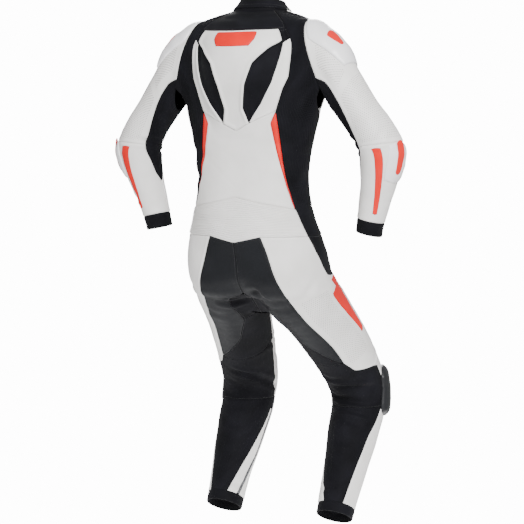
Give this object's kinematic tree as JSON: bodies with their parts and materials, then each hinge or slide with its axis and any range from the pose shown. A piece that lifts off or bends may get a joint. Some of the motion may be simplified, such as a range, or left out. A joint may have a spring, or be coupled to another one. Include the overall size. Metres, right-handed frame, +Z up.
{
  "type": "motorcycle race suit",
  "caption": "One-piece leather race suit in a pre-bent riding stance: back hump, ribbed stretch panels, plastic shoulder, elbow and knee guards, knee sliders and zipped front.",
  "frame": {"origin": "centre of the neck opening at the collar's base, where the wearer's neck holds the suit", "axes": "+Z up, the suit's front faces -Y, the wearer's left is +X"},
  "size_m": [0.8092, 0.548, 1.39],
  "materials": {
    "white_leather": "matt full-grain leather, partly perforated",
    "black_leather": "matt full-grain leather",
    "stretch_fabric": "ribbed stretch fabric",
    "red_leather": "semi-matt coated leather",
    "white_plastic": "moulded, satin",
    "black_plastic": "moulded, satin",
    "steel": "plated zip metal"
  },
  "bodies": {
    "suit": {"back_lower": "white_leather", "back_lumbar": "white_leather", "back_stretch_l": "stretch_fabric", "back_stretch_r": "stretch_fabric", "calf_l": "stretch_fabric", "calf_r": "stretch_fabric", "calf_strip_l": "white_leather", "calf_strip_r": "white_leather", "collar": "stretch_fabric", "crotch_stretch_l": "stretch_fabric", "crotch_stretch_r": "stretch_fabric", "elbow_guard_l": "white_plastic", "elbow_guard_r": "white_plastic", "front_chest_l": "white_leather", "front_chest_r": "white_leather", "front_zip": "black_leather", "hip_front_l": "stretch_fabric", "hip_front_r": "stretch_fabric", "hip_l": "white_leather", "hip_r": "white_leather", "hump_badge": "red_leather", "hump_centre": "white_leather", "hump_recess_l": "black_leather", "hump_recess_r": "black_leather", "hump_side_l": "white_leather", "hump_side_r": "white_leather", "inner_thigh_l": "stretch_fabric", "inner_thigh_r": "stretch_fabric", "knee_back_l": "stretch_fabric", "knee_back_r": "stretch_fabric", "knee_cup_l": "white_plastic", "knee_cup_r": "white_plastic", "knee_front_l": "white_leather", "knee_front_r": "white_leather", "knee_slider_l": "black_plastic", "knee_slider_r": "black_plastic", "leg_cuff_l": "stretch_fabric", "leg_cuff_r": "stretch_fabric", "leg_zip_l": "black_leather", "leg_zip_r": "black_leather", "red_stripe_l": "red_leather", "red_stripe_r": "red_leather", "seat_l": "black_leather", "seat_r": "black_leather", "shin_l": "white_leather", "shin_r": "white_leather", "shoulder_cup_l": "white_plastic", "shoulder_cup_r": "white_plastic", "sleeve_cuff_l": "stretch_fabric", "sleeve_cuff_r": "stretch_fabric", "sleeve_inner_l": "stretch_fabric", "sleeve_inner_r": "stretch_fabric", "sleeve_lower_l": "white_leather", "sleeve_lower_r": "white_leather", "sleeve_upper_l": "white_leather", "sleeve_upper_r": "white_leather", "yoke_back": "stretch_fabric", "zip_slider": "steel"},
    "pull": {"zip_pull": "steel"}
  },
  "joints": [
    {"name": "zip_pull_hinge", "type": "hinge", "parent": "suit", "child": "pull", "pos_m": [0, -0.0681, -0.022], "axis": [-1, 0, 0], "range_deg": [0, 120]}
  ]
}
